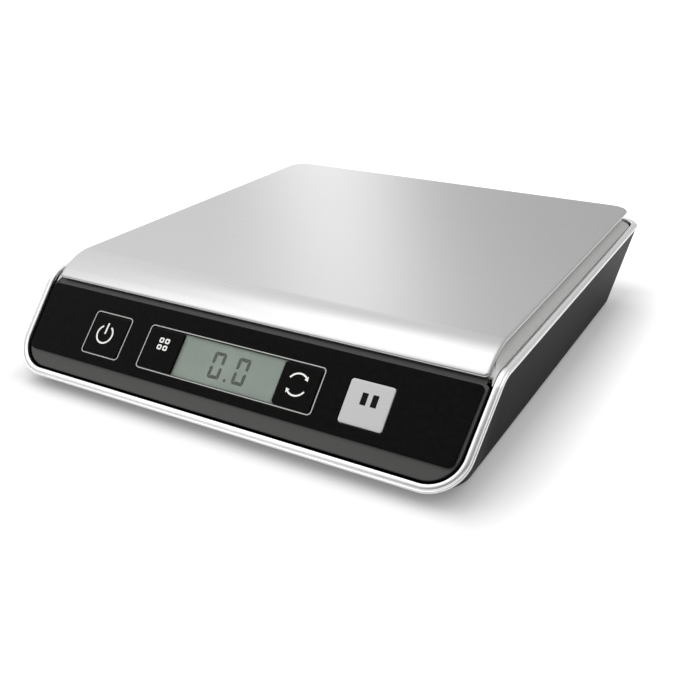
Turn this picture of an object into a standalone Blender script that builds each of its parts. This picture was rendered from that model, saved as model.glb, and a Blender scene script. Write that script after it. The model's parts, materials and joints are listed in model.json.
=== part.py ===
"""A digital postal scale: a black drafted tub with a silver frame, a square steel platform on a
load cell, and a sloping front panel with a display and four keys.

The origin is the centre of the footprint, on the surface that the scale stands on. +X is to the
right of someone reading the display, -Y is the front, +Z is up. Sizes below are in millimetres and
degrees; every object is made in metres.
"""

import math
from collections import namedtuple

import bmesh
import bpy
from mathutils import Matrix, Vector

MM = 0.001
GAP = 0.3

# Weighing platform: a square steel sheet whose front edge bends down to meet the panel
PLATFORM_WIDTH = 203.2
PLATFORM_TOP_Z = 46.0
PLATFORM_BACK_Y = 113.9
PLATFORM_BEND_Y = -65.8
PLATFORM_BEND_RADIUS = 28.4
PLATFORM_BEND_ANGLE = 42.0
PLATFORM_LIP = 1.0
PLATFORM_BACK_CORNER = 9.0
PLATFORM_FRONT_CORNER = 3.0
PLATFORM_SHEET = 0.8
PLATFORM_FLANGE = 1.3
PLATFORM_EDGE_RADIUS = 1.0
PLATFORM_TRAVEL = 0.8
TRAY_TOP_DEPTH = 1.9
TRAY_SHEET = 2.2
TRAY_HALF_WIDTH = 94.0
TRAY_BACK_Y = 100.0
TRAY_FRONT = 8.0
TRAY_RIB_BOTTOM_Z = 38.2
TRAY_RIB = 2.0

# Front panel: a plane through the line (PANEL_Y, PANEL_Z), sloping down towards the front
PANEL_ANGLE = 46.0
PANEL_Y = -78.3
PANEL_Z = 46.0
FASCIA_DEPTH = 1.1
FASCIA_SHEET = 2.2
FASCIA_TOP_S = 13.0
FASCIA_BOTTOM_S = 51.0
FASCIA_HALF_TOP = 103.0
FASCIA_HALF_BOTTOM = 100.6
FASCIA_TOP_CORNER = 1.5
FASCIA_BOTTOM_CORNER = 11.5
TONGUE_TOP_S = 10.2
TONGUE_DEPTH = 2.6
TONGUE_HALF = 101.2
OVERLAY_SHEET = 0.8
OVERLAY_TOP_S = 13.6
OVERLAY_BOTTOM_S = 44.6
OVERLAY_HALF_TOP = 101.9
OVERLAY_HALF_BOTTOM = 99.8
KEY_TOP_S = 22.05
KEY_BOTTOM_S = 39.9
KEY_PROUD = 0.2
KEY_CAP = 0.75
KEY_TRAVEL = 0.4
KEY_GAP = 0.35
STEM_END_DEPTH = 5.5
SIDE_KEY_INNER_X = 52.6
SIDE_KEY_OUTER_X = 71.4
MIDDLE_KEY_INNER_X = 23.9
MIDDLE_KEY_OUTER_X = 41.3
LCD_GLASS_DEPTH = 1.3
LCD_GLASS = 2.0
BOARD_DEPTH = 10.0
BOARD_SHEET = 1.6
BOARD_HALF_WIDTH = 76.0
BOARD_TOP_S = 15.5
BOARD_BOTTOM_S = 43.5
BOARD_FIXINGS = ((-73.0, 18.0), (73.0, 18.0), (-73.0, 41.0), (73.0, 41.0))

# Bright rim round the top of the tub, wrapped over the front edge
RIM_HALF_WIDTH = 107.8
RIM_BACK_Y = 116.1
RIM_TOP_Z = 39.9
RIM_DEPTH = 0.3
RIM_BEND_RADIUS = 12.0
RIM_BOTTOM_S = 55.4
RIM_BACK_CORNER = 12.0
RIM_FRONT_CORNER = 15.5
RIM_TAPER = 0.06
RIM_WIDTH = 3.3
RIM_HEIGHT = 1.6

# Silver frame: the ledge between the rim and the platform
LEDGE_Z = 39.0
LEDGE_DEPTH = 2.3
LEDGE_BEND_RADIUS = 9.0
LEDGE_SHEET = 2.0
LEDGE_FRONT_S = 9.7
LEDGE_OPENING_HALF = 98.9
LEDGE_OPENING_BACK_Y = 104.0
LEDGE_OPENING_FRONT_S = 5.6
LEDGE_CURB = 1.0
LEDGE_SKIRT = 7.0
LEDGE_CLEARANCE = 0.6
LEDGE_BACK_CORNER = 9.5

# Tub
TUB_BOTTOM_Z = 1.3
TUB_FLOOR = 3.0
TUB_WALL = 2.6
TUB_INSET = 0.5
TUB_HALF_WIDTH = 100.9
TUB_BACK_Y = 102.7
TUB_FRONT_Y = -109.7
TUB_BACK_CORNER = 14.0
TUB_FRONT_CORNER = 15.0
TUB_EDGE = 1.2

# Load cell, on its side along X under the middle of the platform
CELL_Y = 14.5
CELL_LENGTH = 80.0
CELL_SIZE = 12.7
CELL_BOTTOM_Z = 14.4
CELL_PAD_TOP_Z = 9.0
CELL_BOLTS_X = (20.0, 35.0)
CELL_BOLT_RADIUS = 2.4
CELL_BOLT_HOLE = 2.8

# Battery bay: three AAA cells side by side, behind a sliding door in the underside
BATTERY_RADIUS = 5.25
BATTERY_LENGTH = 44.5
BATTERY_PITCH = 11.6
BATTERY_Z = 9.6
BAY_Y = 63.5
BAY_HALF_X = 27.0
BAY_HALF_Y = 18.0
BAY_TOP_Z = 15.2
BAY_WALL = 1.7
DOOR_HALF_X = 29.6
DOOR_HALF_Y = 20.4
DOOR_SHEET = 1.8
DOOR_FLANGE = 1.2
DOOR_TRAVEL = 7.0

# Feet and fasteners
FOOT_RADIUS = 7.0
FOOT_SINK = 1.0
FEET = ((80.0, 88.0), (66.0, -97.0))
CASE_SCREWS = ((93.5, 78.0), (88.0, -91.0))
SCREW_BOSS_RADIUS = 4.4
SCREW_BOSS_TOP_Z = 13.7
SCREW_HEAD_Z = 5.6
STOP_POSTS = ((70.0, 78.0), (70.0, -52.0))
STOP_POST_TOP_Z = 37.1

# Rear USB inlet
USB_X = 60.0
USB_BOARD_Z = 10.0
USB_MOUTH_Y = 106.4
USB_BOARD_FRONT_Y = 84.0
USB_BOARD_BACK_Y = 101.0

LOOKS = {
    "brushed_steel": ((0.55, 0.56, 0.55), 0.32, 0.9),
    "silver_paint": ((0.50, 0.51, 0.49), 0.38, 0.6),
    "bright_chrome": ((0.85, 0.85, 0.84), 0.18, 0.95),
    "black_plastic": ((0.021, 0.022, 0.021), 0.5, 0.0),
    "dark_grey_plastic": ((0.042, 0.042, 0.040), 0.45, 0.0),
    "gloss_black": ((0.006, 0.006, 0.006), 0.08, 0.0),
    "silver_key": ((0.58, 0.59, 0.58), 0.35, 0.5),
    "clear_acrylic": ((0.90, 0.92, 0.90), 0.05, 0.0),
    "lcd_glass": ((0.27, 0.32, 0.27), 0.2, 0.0),
    "white_plastic": ((0.75, 0.75, 0.72), 0.5, 0.0),
    "grey_rubber": ((0.06, 0.06, 0.06), 0.9, 0.0),
    "green_board": ((0.02, 0.14, 0.05), 0.4, 0.0),
    "aluminium": ((0.70, 0.71, 0.72), 0.35, 1.0),
    "zinc_steel": ((0.62, 0.62, 0.60), 0.3, 1.0),
    "battery_label": ((0.05, 0.09, 0.22), 0.3, 0.2),
    "red_wire": ((0.45, 0.02, 0.02), 0.5, 0.0),
    "black_wire": ((0.015, 0.015, 0.015), 0.5, 0.0),
    "grey_cable": ((0.25, 0.25, 0.25), 0.6, 0.0),
}

Fold = namedtuple("Fold", "bend_y top_z radius angle")


# ---------------------------------------------------------------- scene and object helpers

def clear_scene():
    for item in list(bpy.data.objects):
        bpy.data.objects.remove(item, do_unlink=True)


def new_collection(name):
    collection = bpy.data.collections.new(name)
    bpy.context.scene.collection.children.link(collection)
    return collection


def paint(item, look):
    colour, roughness, metallic = LOOKS[look]
    material = bpy.data.materials.new(f"{item.name}_{look}")
    material.use_nodes = True
    shader = material.node_tree.nodes["Principled BSDF"]
    shader.inputs["Base Color"].default_value = (*colour, 1.0)
    shader.inputs["Roughness"].default_value = roughness
    shader.inputs["Metallic"].default_value = metallic
    item.data.materials.clear()
    item.data.materials.append(material)


def as_object(name, mesh, look, parent=None):
    """Link a mesh as a finished part, or as a cutter when look is None."""
    item = bpy.data.objects.new(name, mesh)
    item.parent = parent
    if look:
        PARTS.objects.link(item)
        mesh.shade_smooth()
        mesh.set_sharp_from_angle(angle=math.radians(35.0))
        paint(item, look)
    else:
        CUTTERS.objects.link(item)
        item.hide_render = True
        item.display_type = "WIRE"
    return item


def from_bmesh(name, shape, look, parent=None):
    mesh = bpy.data.meshes.new(name)
    shape.to_mesh(mesh)
    shape.free()
    return as_object(name, mesh, look, parent)


def empty(name, location=(0.0, 0.0, 0.0), tilt=0.0):
    """A guide that carries other objects; it isn't a part."""
    guide = bpy.data.objects.new(name, None)
    guide.location = [value * MM for value in location]
    guide.rotation_euler = (math.radians(tilt), 0.0, 0.0)
    PARTS.objects.link(guide)
    return guide


def box(name, low, high, look=None, parent=None, bevel=0.0):
    """A block between two corners, with its origin at its centre."""
    size = [(b - a) * MM for a, b in zip(low, high)]
    shape = bmesh.new()
    bmesh.ops.create_cube(shape, size=1.0, matrix=Matrix.Diagonal((*size, 1.0)))
    item = from_bmesh(name, shape, look, parent)
    item.location = [(a + b) / 2 * MM for a, b in zip(low, high)]
    if bevel:
        round_edges(item, bevel)
    return item


def round_edges(item, width, segments=2):
    modifier = item.modifiers.new("rounded_edges", "BEVEL")
    modifier.width = width * MM
    modifier.segments = segments
    modifier.limit_method = "ANGLE"
    modifier.angle_limit = math.radians(40.0)


def cylinder(name, centre, radius, length, look=None, parent=None, axis="Z", segments=24):
    """A rod with its centre at centre and its length along axis."""
    turn = {"X": Matrix.Rotation(math.pi / 2, 4, "Y"), "Z": Matrix.Identity(4),
            "Y": Matrix.Rotation(math.pi / 2, 4, "X")}[axis]
    shape = bmesh.new()
    bmesh.ops.create_cone(shape, cap_ends=True, segments=segments, radius1=radius * MM,
                          radius2=radius * MM, depth=length * MM, matrix=turn)
    item = from_bmesh(name, shape, look, parent)
    item.location = [value * MM for value in centre]
    return item


def turned(name, profile, location, look, parent=None, tilt=None, steps=24):
    """A turned piece: profile is (radius, height) from its top centre down to its bottom centre."""
    mesh = bpy.data.meshes.new(name)
    points = [(radius * MM, 0.0, height * MM) for radius, height in profile]
    mesh.from_pydata(points, [(i, i + 1) for i in range(len(points) - 1)], [])
    item = as_object(name, mesh, look, parent)
    item.location = [value * MM for value in location]
    if tilt:
        item.rotation_euler = [math.radians(value) for value in tilt]
    screw = item.modifiers.new("turned", "SCREW")
    screw.steps = steps
    screw.render_steps = steps
    screw.use_merge_vertices = True
    screw.merge_threshold = 0.00001
    return item


def curve_object(name, points, cyclic, dimensions):
    curve = bpy.data.curves.new(name, "CURVE")
    curve.dimensions = dimensions
    spline = curve.splines.new("POLY")
    spline.points.add(len(points) - 1)
    for point, place in zip(spline.points, points):
        point.co = (*[value * MM for value in place], 1.0)
    spline.use_cyclic_u = cyclic
    item = bpy.data.objects.new(name, curve)
    PARTS.objects.link(item)
    return item


def curve_to_mesh(item, look, parent=None):
    """Turn a curve into a part or a cutter, with its caps welded."""
    bpy.context.view_layer.update()
    graph = bpy.context.evaluated_depsgraph_get()
    mesh = bpy.data.meshes.new_from_object(item.evaluated_get(graph), depsgraph=graph)
    name = item.name
    place = item.matrix_world.copy()
    bpy.data.objects.remove(item)
    shape = bmesh.new()
    shape.from_mesh(mesh)
    bmesh.ops.remove_doubles(shape, verts=shape.verts, dist=0.000005)
    shape.to_mesh(mesh)
    shape.free()
    mesh.name = name
    mesh.materials.clear()
    solid = as_object(name, mesh, look, parent)
    solid.matrix_local = place
    return solid


def plate(name, outline, low, high, look=None, parent=None):
    """A flat outline of (x, y) points, extruded between two heights."""
    item = curve_object(name, [(x, y, 0.0) for x, y in outline], True, "2D")
    item.data.fill_mode = "BOTH"
    item.data.extrude = (high - low) / 2 * MM
    item.location = (0.0, 0.0, (low + high) / 2 * MM)
    return curve_to_mesh(item, look, parent)


def wire(name, route, radius, look, spacing=3.0):
    """A round lead along a smooth curve through route."""
    item = curve_object(name, smooth_route(route, spacing), False, "3D")
    item.data.bevel_depth = radius * MM
    item.data.bevel_resolution = 1
    item.data.use_fill_caps = True
    return curve_to_mesh(item, look)


def smooth_route(route, spacing):
    """Points along a Catmull-Rom curve through the places of a route."""
    places = [Vector(place) for place in route]
    places = [2 * places[0] - places[1], *places, 2 * places[-1] - places[-2]]
    points = []
    for a, b, c, d in zip(places, places[1:], places[2:], places[3:]):
        count = max(1, round((c - b).length / spacing))
        for step in range(count):
            t = step / count
            points.append(0.5 * (2 * b + (c - a) * t + (2 * a - 5 * b + 4 * c - d) * t**2
                                 + (3 * b - a - 3 * c + d) * t**3))
    return [*points, places[-2]]


def combine(target, other, operation):
    """Cut, join or keep the common part of target and other; other becomes a hidden guide."""
    modifier = target.modifiers.new(f"{operation.lower()}_{other.name}"[:60], "BOOLEAN")
    modifier.object = other
    modifier.operation = operation
    modifier.solver = "EXACT"


def cut(target, *cutters):
    for cutter in cutters:
        combine(target, cutter, "DIFFERENCE")


def join(target, *pieces):
    for piece in pieces:
        combine(target, piece, "UNION")


# ---------------------------------------------------------------- folded outlines

def panel_direction():
    """Down the slope of the front panel, and out of it."""
    angle = math.radians(PANEL_ANGLE)
    return (Vector((0.0, -math.cos(angle), -math.sin(angle))),
            Vector((0.0, -math.sin(angle), math.cos(angle))))


def panel_fold(top_z, depth, radius):
    """A sheet that is flat at top_z and then runs down the slope, depth below the panel plane."""
    angle = math.radians(PANEL_ANGLE)
    crest_y = PANEL_Y + (depth + (top_z - PANEL_Z) * math.cos(angle)) / math.sin(angle)
    return Fold(crest_y + radius * math.tan(angle / 2), top_z, radius, angle)


def slope_distance(fold, s):
    """How far forward of its bend line a sheet has come at s down the panel slope."""
    down, _ = panel_direction()
    reach = fold.radius * math.tan(fold.angle / 2)
    crest = Vector((0.0, fold.bend_y - reach - PANEL_Y, fold.top_z - PANEL_Z))
    return fold.radius * fold.angle + s - crest.dot(down) - reach


def fold_point(fold, u, d, h):
    """The point u across and d forward of the bend line of a folded sheet, h above it."""
    turn = min(max(d / fold.radius, 0.0), fold.angle)
    flat = min(d, 0.0)
    slope = max(d - fold.radius * fold.angle, 0.0)
    y = fold.bend_y - flat - (fold.radius + h) * math.sin(turn) - slope * math.cos(turn)
    z = fold.top_z - fold.radius + (fold.radius + h) * math.cos(turn) - slope * math.sin(turn)
    return (u, y, z)


def half_outline(back, front, corners):
    """The right half of an outline as (u, d, outward u, outward d), from back to front.

    back and front are the d of its two middle points. Each corner is (u, d, reach, segments): an
    arc that takes reach from both of its sides, which may also be in line.
    """
    places = [Vector((0.0, back)), *[Vector(corner[:2]) for corner in corners], Vector((0.0, front))]
    half = []
    for before, corner, after, (_, _, reach, segments) in zip(places, places[1:], places[2:], corners):
        arriving = (corner - before).normalized()
        leaving = (after - corner).normalized()
        outward = Vector((arriving.y, -arriving.x))
        turn = arriving.angle(leaving)
        weight = math.cos(turn / 2)
        start = corner - arriving * reach
        end = corner + leaving * reach
        for step in range(segments + 1):
            t = step / segments
            blend = ((1 - t)**2, 2 * weight * t * (1 - t), t**2)
            point = (start * blend[0] + corner * blend[1] + end * blend[2]) / sum(blend)
            normal = outward
            if turn > 0.001:
                centre = start - outward * (reach / math.tan(turn / 2))
                normal = (point - centre).normalized()
            half.append((point.x, point.y, normal.x, normal.y))
    return half


def folded_loop(half, fold, offset, height):
    """A closed loop on a folded sheet: the outline grown by offset, at a height over the sheet."""
    right = [(u + nu * offset, d + nd * offset) for u, d, nu, nd in half]
    left = [(-u, d) for u, d in reversed(right)]
    return [fold_point(fold, u, d, height) for u, d in right + left]


def flat_loop(half, offset, z):
    """A closed level loop: the outline grown by offset, at height z. Its d is minus Y."""
    right = [(u + nu * offset, -d - nd * offset, z) for u, d, nu, nd in half]
    return right + [(-x, y, z) for x, y, z in reversed(right)]


def loft(name, loops, look=None, ring=False):
    """A solid skin over loops of equal length: capped at both ends, or closed on itself as a ring."""
    shape = bmesh.new()
    rows = [[shape.verts.new([value * MM for value in point]) for point in loop] for loop in loops]
    pairs = list(zip(rows, rows[1:]))
    if ring:
        pairs.append((rows[-1], rows[0]))
    for row, following in pairs:
        for i in range(len(row)):
            shape.faces.new((row[i - 1], row[i], following[i], following[i - 1]))
    if not ring:
        for row in (rows[0], rows[-1]):
            for i in range(len(row) // 2 - 1):
                shape.faces.new((row[i], row[i + 1], row[-2 - i], row[-1 - i]))
    bmesh.ops.recalc_face_normals(shape, faces=shape.faces)
    return from_bmesh(name, shape, look)


def panel_outline(half_top, half_bottom, top_s, bottom_s, top_corner, bottom_corner, segments=4):
    """Outline of a symmetric plate on the panel, as (x, y) in the panel's own axes."""
    half = half_outline(top_s, bottom_s, ((half_top, top_s, top_corner, segments),
                                          (half_bottom, bottom_s, bottom_corner, segments)))
    right = [(u, -d) for u, d, _, _ in half]
    return right + [(-x, y) for x, y in reversed(right)]


# ---------------------------------------------------------------- outlines shared by several parts

def rim_fold():
    return panel_fold(RIM_TOP_Z, RIM_DEPTH, RIM_BEND_RADIUS)


def rim_half(fold):
    """Outer edge of the rim. Its sides draw in slightly as they run down the front."""
    middle = fold.radius * fold.angle / 2
    front = slope_distance(fold, RIM_BOTTOM_S)
    front_half = RIM_HALF_WIDTH - RIM_TAPER * (front - middle)
    back = fold.bend_y - RIM_BACK_Y
    return half_outline(back, front, ((RIM_HALF_WIDTH, back, RIM_BACK_CORNER, 6),
                                      (RIM_HALF_WIDTH, middle, 8.0, 8),
                                      (front_half, front, RIM_FRONT_CORNER, 9)))


def tub_half():
    """Outline of the tub at its foot, with the same number of points as the rim."""
    return half_outline(-TUB_BACK_Y, -TUB_FRONT_Y,
                        ((TUB_HALF_WIDTH, -TUB_BACK_Y, TUB_BACK_CORNER, 6),
                         (TUB_HALF_WIDTH, 77.0, 8.0, 8),
                         (TUB_HALF_WIDTH, -TUB_FRONT_Y, TUB_FRONT_CORNER, 9)))


def front_half_width(s):
    """Inner half width of the rim at s down the panel slope."""
    fold = rim_fold()
    forward = slope_distance(fold, s) - fold.radius * fold.angle / 2
    return RIM_HALF_WIDTH - RIM_WIDTH - RIM_TAPER * max(forward, 0.0)


def mirrored_places(places):
    return [(side * x, y) for x, y in places for side in (-1, 1)]


# ---------------------------------------------------------------- casing

def base_housing():
    """The drafted tub, with its battery bay, load cell pad, bosses and stop posts."""
    fold = rim_fold()
    rim = rim_half(fold)
    foot = tub_half()
    tub_top = -RIM_HEIGHT - GAP
    floor_z = TUB_BOTTOM_Z + TUB_FLOOR
    tub = loft("base_housing", [
        flat_loop(foot, -TUB_EDGE, TUB_BOTTOM_Z),
        flat_loop(foot, 0.0, TUB_BOTTOM_Z + TUB_EDGE),
        folded_loop(rim, fold, -TUB_INSET, tub_top),
        folded_loop(rim, fold, -TUB_INSET - TUB_WALL, tub_top),
        flat_loop(foot, -TUB_WALL, floor_z),
    ], "black_plastic")
    root_z = TUB_BOTTOM_Z + 1.0
    join(tub, box("bay_walls", (-BAY_HALF_X - BAY_WALL, BAY_Y - BAY_HALF_Y - BAY_WALL, root_z),
                  (BAY_HALF_X + BAY_WALL, BAY_Y + BAY_HALF_Y + BAY_WALL, BAY_TOP_Z + BAY_WALL)))
    join(tub, box("cell_pad", (-46.0, CELL_Y - 13.0, root_z), (-10.0, CELL_Y + 13.0, CELL_PAD_TOP_Z)))
    join(tub, box("usb_rest", (USB_X - 8.0, USB_BOARD_FRONT_Y, root_z),
                  (USB_X + 8.0, USB_BOARD_FRONT_Y + 10.0, USB_BOARD_Z - GAP)))
    for number, (x, y) in enumerate(mirrored_places(CASE_SCREWS), 1):
        join(tub, cylinder(f"screw_boss_{number}", (x, y, (root_z + SCREW_BOSS_TOP_Z) / 2),
                           SCREW_BOSS_RADIUS, SCREW_BOSS_TOP_Z - root_z))
    for number, (x, y) in enumerate(mirrored_places(STOP_POSTS), 1):
        join(tub, cylinder(f"stop_post_{number}", (x, y, (root_z + STOP_POST_TOP_Z) / 2), 4.0,
                           STOP_POST_TOP_Z - root_z, segments=16))
    cut_battery_bay(tub)
    cut_underside(tub)
    cut(tub, box("usb_cut", (USB_X - 4.6, 98.0, USB_BOARD_Z + BOARD_SHEET),
                 (USB_X + 4.6, 114.0, USB_BOARD_Z + BOARD_SHEET + 5.0)))
    return tub


def cut_battery_bay(tub):
    """Open the bay from below, and cut the recess and the side grooves that the door slides in."""
    reach = GAP + 0.1
    door_top = TUB_BOTTOM_Z + DOOR_SHEET + GAP
    low_y = BAY_Y - DOOR_HALF_Y - reach
    high_y = BAY_Y + DOOR_HALF_Y + DOOR_TRAVEL + reach
    cut(tub, box("bay_space", (-BAY_HALF_X, BAY_Y - BAY_HALF_Y, 0.0),
                 (BAY_HALF_X, BAY_Y + BAY_HALF_Y, BAY_TOP_Z)))
    cut(tub, box("door_recess", (-DOOR_HALF_X - reach, low_y, 0.0),
                 (DOOR_HALF_X + reach, high_y, door_top)))
    cut(tub, box("door_grooves", (-DOOR_HALF_X - DOOR_FLANGE - reach, low_y, TUB_BOTTOM_Z + 0.7),
                 (DOOR_HALF_X + DOOR_FLANGE + reach, high_y, door_top)))


def cut_underside(tub):
    """Foot pockets, case screw holes and the counterbored holes of the load cell bolts."""
    for number, (x, y) in enumerate(mirrored_places(FEET), 1):
        cut(tub, cylinder(f"foot_pocket_{number}", (x, y, TUB_BOTTOM_Z), FOOT_RADIUS + 0.4,
                          2 * FOOT_SINK + 2 * GAP))
    for number, (x, y) in enumerate(mirrored_places(CASE_SCREWS), 1):
        cut(tub, cylinder(f"screw_sink_{number}", (x, y, 4.0), 3.4, 8.0, segments=20))
        cut(tub, cylinder(f"screw_bore_{number}", (x, y, 12.0), 1.9, 10.0, segments=16))
    for number, x in enumerate(CELL_BOLTS_X, 1):
        cut(tub, cylinder(f"bolt_sink_{number}", (-x, CELL_Y, 2.6), 4.8, 5.2, segments=20))
        cut(tub, cylinder(f"bolt_bore_{number}", (-x, CELL_Y, 8.0), CELL_BOLT_HOLE, 8.0,
                          segments=16))


def trim_rim():
    """The bright bead: a crowned band, a fine groove and a thin outer lip, swept round the rim."""
    fold = rim_fold()
    half = rim_half(fold)
    section = ((-RIM_WIDTH, -RIM_HEIGHT), (-RIM_WIDTH, -0.5), (-3.0, -0.12), (-2.2, 0.0),
               (-1.5, -0.1), (-1.2, -0.35), (-1.1, -0.75), (-0.8, -0.75), (-0.7, -0.4),
               (-0.35, -0.35), (-0.1, -0.6), (0.0, -1.0), (-0.15, -RIM_HEIGHT))
    return loft("trim_rim", [folded_loop(half, fold, o, h) for o, h in section],
                "bright_chrome", ring=True)


def curb_top(y):
    """Height of the ledge's inner edge: as near under the platform as its travel allows."""
    forward = max(PLATFORM_BEND_Y - y, 0.0) / PLATFORM_BEND_RADIUS
    level = math.sqrt(max(1.0 - forward * forward, 0.2))
    sheet = PLATFORM_TOP_Z - PLATFORM_BEND_RADIUS * (1.0 - level)
    return sheet - PLATFORM_FLANGE / level - PLATFORM_TRAVEL - GAP


def raised_loop(loop, lower):
    """A loop lifted to the inner edge's height, less lower, wherever that is above it."""
    return [(x, y, max(z, curb_top(y) - lower)) for x, y, z in loop]


def silver_frame():
    """The sloping ledge round the platform well, with a skirt and two screw posts."""
    fold = panel_fold(LEDGE_Z, LEDGE_DEPTH, LEDGE_BEND_RADIUS)
    middle = fold.radius * fold.angle / 2
    back = fold.bend_y - RIM_BACK_Y + RIM_WIDTH + LEDGE_CLEARANCE
    front = slope_distance(fold, LEDGE_FRONT_S)
    half = RIM_HALF_WIDTH - RIM_WIDTH - LEDGE_CLEARANCE
    front_half = front_half_width(LEDGE_FRONT_S) - LEDGE_CLEARANCE
    outer = half_outline(back, front, ((half, back, LEDGE_BACK_CORNER, 4), (half, middle, 5.0, 6),
                                       (front_half, front, 0.6, 3)))
    opening_back = fold.bend_y - LEDGE_OPENING_BACK_Y
    opening_front = slope_distance(fold, LEDGE_OPENING_FRONT_S)
    inner = half_outline(opening_back, opening_front,
                         ((LEDGE_OPENING_HALF, opening_back, LEDGE_BACK_CORNER, 4),
                          (LEDGE_OPENING_HALF, opening_front - 6.0, 2.0, 6),
                          (LEDGE_OPENING_HALF, opening_front, 3.0, 3)))
    frame = loft("silver_frame", [
        raised_loop(folded_loop(inner, fold, LEDGE_CURB, 0.0), 0.3),
        folded_loop(outer, fold, -0.4, 0.0),
        folded_loop(outer, fold, 0.0, -0.4),
        folded_loop(outer, fold, 0.0, -LEDGE_SHEET),
        folded_loop(inner, fold, 1.6, -LEDGE_SHEET),
        folded_loop(inner, fold, 1.6, -LEDGE_SKIRT),
        folded_loop(inner, fold, 0.0, -LEDGE_SKIRT),
        raised_loop(folded_loop(inner, fold, 0.0, 0.0), 0.3),
        raised_loop(folded_loop(inner, fold, 0.3, 0.0), 0.0),
        raised_loop(folded_loop(inner, fold, LEDGE_CURB - 0.3, 0.0), 0.0),
    ], "silver_paint", ring=True)
    x, y = CASE_SCREWS[0]
    post_bottom = SCREW_BOSS_TOP_Z + GAP
    for number, side in enumerate((-1, 1), 1):
        post = cylinder(f"frame_post_{number}", (side * x, y, (post_bottom + 36.0) / 2), 3.5,
                        36.0 - post_bottom, segments=20)
        tab_ends = sorted((side * x, side * (LEDGE_OPENING_HALF + 0.8)))
        tab = box(f"frame_tab_{number}", (tab_ends[0], y - 4.0, 32.5), (tab_ends[1], y + 4.0, 35.5))
        join(frame, post, tab)
        cut(frame, cylinder(f"frame_bore_{number}", (side * x, y, post_bottom), 1.8, 22.0,
                            segments=16))
    return frame


# ---------------------------------------------------------------- front panel

def key_span(name):
    """Left and right edges of a key's opening."""
    spans = {
        "power_key": (-SIDE_KEY_OUTER_X, -SIDE_KEY_INNER_X),
        "tare_key": (-MIDDLE_KEY_OUTER_X, -MIDDLE_KEY_INNER_X),
        "units_key": (MIDDLE_KEY_INNER_X, MIDDLE_KEY_OUTER_X),
        "hold_key": (SIDE_KEY_INNER_X, SIDE_KEY_OUTER_X),
    }
    return spans[name]


def front_fascia(panel):
    """The plate under the overlay, with openings for the display and keys, and its posts."""
    top = -FASCIA_DEPTH
    bottom = top - FASCIA_SHEET
    outline = panel_outline(FASCIA_HALF_TOP, FASCIA_HALF_BOTTOM, FASCIA_TOP_S, FASCIA_BOTTOM_S,
                            FASCIA_TOP_CORNER, FASCIA_BOTTOM_CORNER, 6)
    fascia = plate("front_fascia", outline, bottom, top, "dark_grey_plastic", panel)
    middle_s = (KEY_TOP_S + KEY_BOTTOM_S) / 2
    for name in ("power_key", "tare_key", "units_key", "hold_key"):
        centre = sum(key_span(name)) / 2
        cut(fascia, box(f"{name}_stem_hole", (centre - 4.0, -middle_s - 4.0, bottom - 1.0),
                        (centre + 4.0, -middle_s + 4.0, top + 1.0), parent=panel))
    cut(fascia, box("display_hole", (-25.0, -KEY_BOTTOM_S - 1.3, bottom - 1.0),
                    (25.0, -KEY_TOP_S + 1.3, top + 1.0), parent=panel))
    join(fascia, box("fascia_tongue", (-TONGUE_HALF, -FASCIA_TOP_S - 1.0, bottom + 0.02),
                     (TONGUE_HALF, -TONGUE_TOP_S, -TONGUE_DEPTH), parent=panel))
    for number, (x, s) in enumerate(BOARD_FIXINGS, 1):
        depth = BOARD_DEPTH - GAP
        join(fascia, cylinder(f"board_post_{number}", (x, -s, -(depth - bottom - 0.5) / 2),
                              2.8, depth + bottom + 0.5, parent=panel, segments=16))
    x, y = CASE_SCREWS[1]
    low_z = SCREW_BOSS_TOP_Z + GAP
    plate_space = box("plate_space", (-110.0, -60.0, bottom + 1.0), (110.0, 0.0, 20.0), parent=panel)
    for number, side in enumerate((-1, 1), 1):
        post = cylinder(f"fascia_post_{number}", (side * x, y, (low_z + PANEL_Z) / 2), 3.5,
                        PANEL_Z - low_z, segments=20)
        cut(post, plate_space)
        join(fascia, post)
        cut(fascia, cylinder(f"fascia_bore_{number}", (side * x, y, low_z), 1.8, 21.0,
                             segments=16))
    for number, (x, s) in enumerate(BOARD_FIXINGS, 1):
        cut(fascia, cylinder(f"board_pilot_{number}", (x, -s, -BOARD_DEPTH), 1.2, 8.0,
                             parent=panel, segments=12))
    return fascia


def panel_overlay(panel):
    """The glossy black overlay, open for the two outer keys and the display group."""
    outline = panel_outline(OVERLAY_HALF_TOP, OVERLAY_HALF_BOTTOM, OVERLAY_TOP_S,
                            OVERLAY_BOTTOM_S, 4.0, 4.0)
    overlay = plate("panel_overlay", outline, -OVERLAY_SHEET, 0.0, "gloss_black", panel)
    spans = {"power": key_span("power_key"), "hold": key_span("hold_key"),
             "display": (-MIDDLE_KEY_OUTER_X, MIDDLE_KEY_OUTER_X)}
    for name, (left, right) in spans.items():
        hole = key_block(f"{name}_opening", left, right, -2.0, 1.0, 1.6, None, panel)
        cut(overlay, hole)
    return overlay


def key_block(name, left, right, low, high, radius, look, panel):
    """A block as tall as the keys, with rounded corners, between two heights over the panel."""
    half = (right - left) / 2
    middle_s = (KEY_TOP_S + KEY_BOTTOM_S) / 2
    reach_s = (KEY_BOTTOM_S - KEY_TOP_S) / 2
    shrink = KEY_GAP if look else 0.0
    outline = panel_outline(half - shrink, half - shrink, shrink - reach_s, reach_s - shrink,
                            radius, radius, 3)
    block = plate(name, outline, low, high, look, panel)
    block.location.x += (left + right) / 2 * MM
    block.location.y -= middle_s * MM
    return block


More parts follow.
